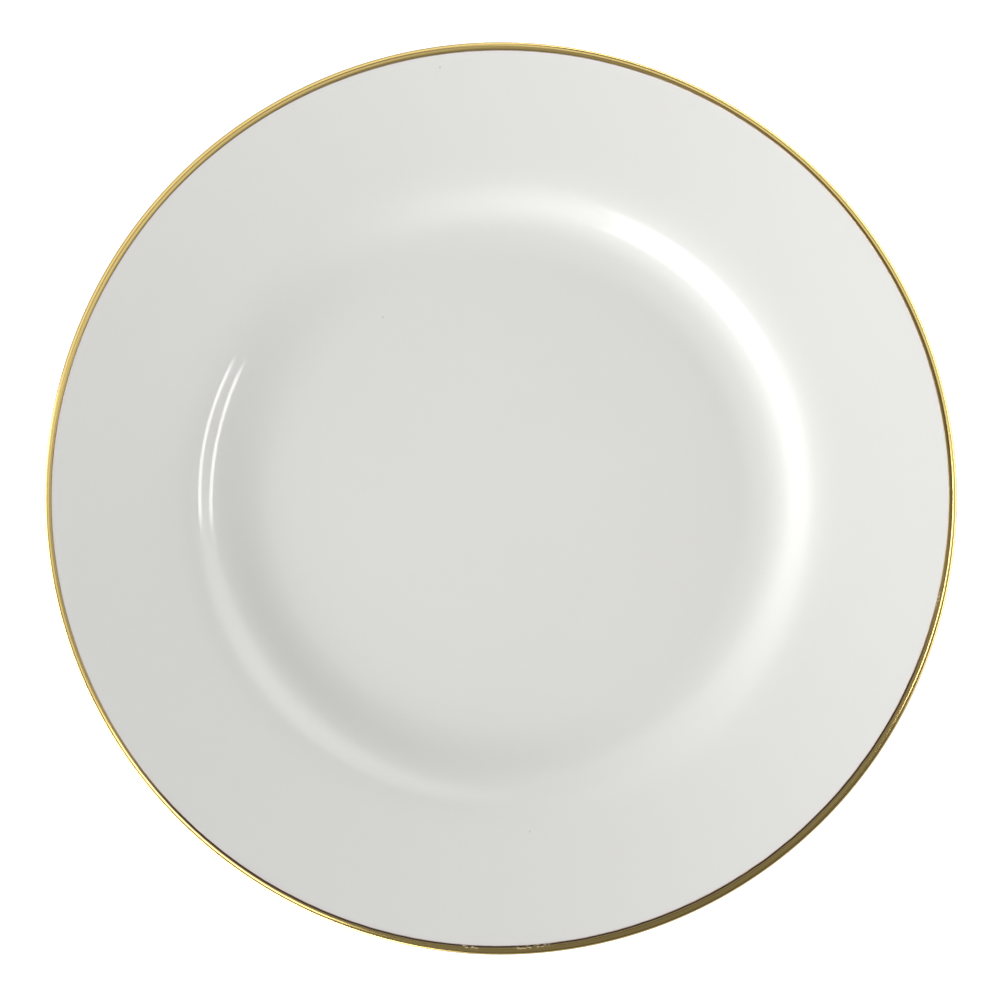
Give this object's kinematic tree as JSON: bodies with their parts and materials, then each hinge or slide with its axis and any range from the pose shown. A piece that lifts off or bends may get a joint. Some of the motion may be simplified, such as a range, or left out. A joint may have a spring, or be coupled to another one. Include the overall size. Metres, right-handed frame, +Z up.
{
  "type": "dinner plate",
  "caption": "Round rimmed china dinner plate with a shallow flat well, a gently sloping plain white rim, a thin gilded edge and a foot ring under the well.",
  "frame": {"origin": "centre of the foot ring's standing face", "axes": "+Z up along the plate's axis, from the foot to the face; X and Y are any two directions across the round plate"},
  "size_m": [0.27, 0.27, 0.0191],
  "materials": {
    "porcelain": "bare fired porcelain, ground smooth on the standing face",
    "glaze": "clear glossy glaze over white porcelain",
    "gilding": "bright fired gold line, hand banded, slightly worn",
    "printed_mark": "thin printed ceramic colour, fired on"
  },
  "bodies": {
    "root": {"porcelain_body": "porcelain", "face_glaze": "glaze", "recess_glaze": "glaze", "gold_band": "gilding", "base_mark": "printed_mark"}
  },
  "joints": []
}
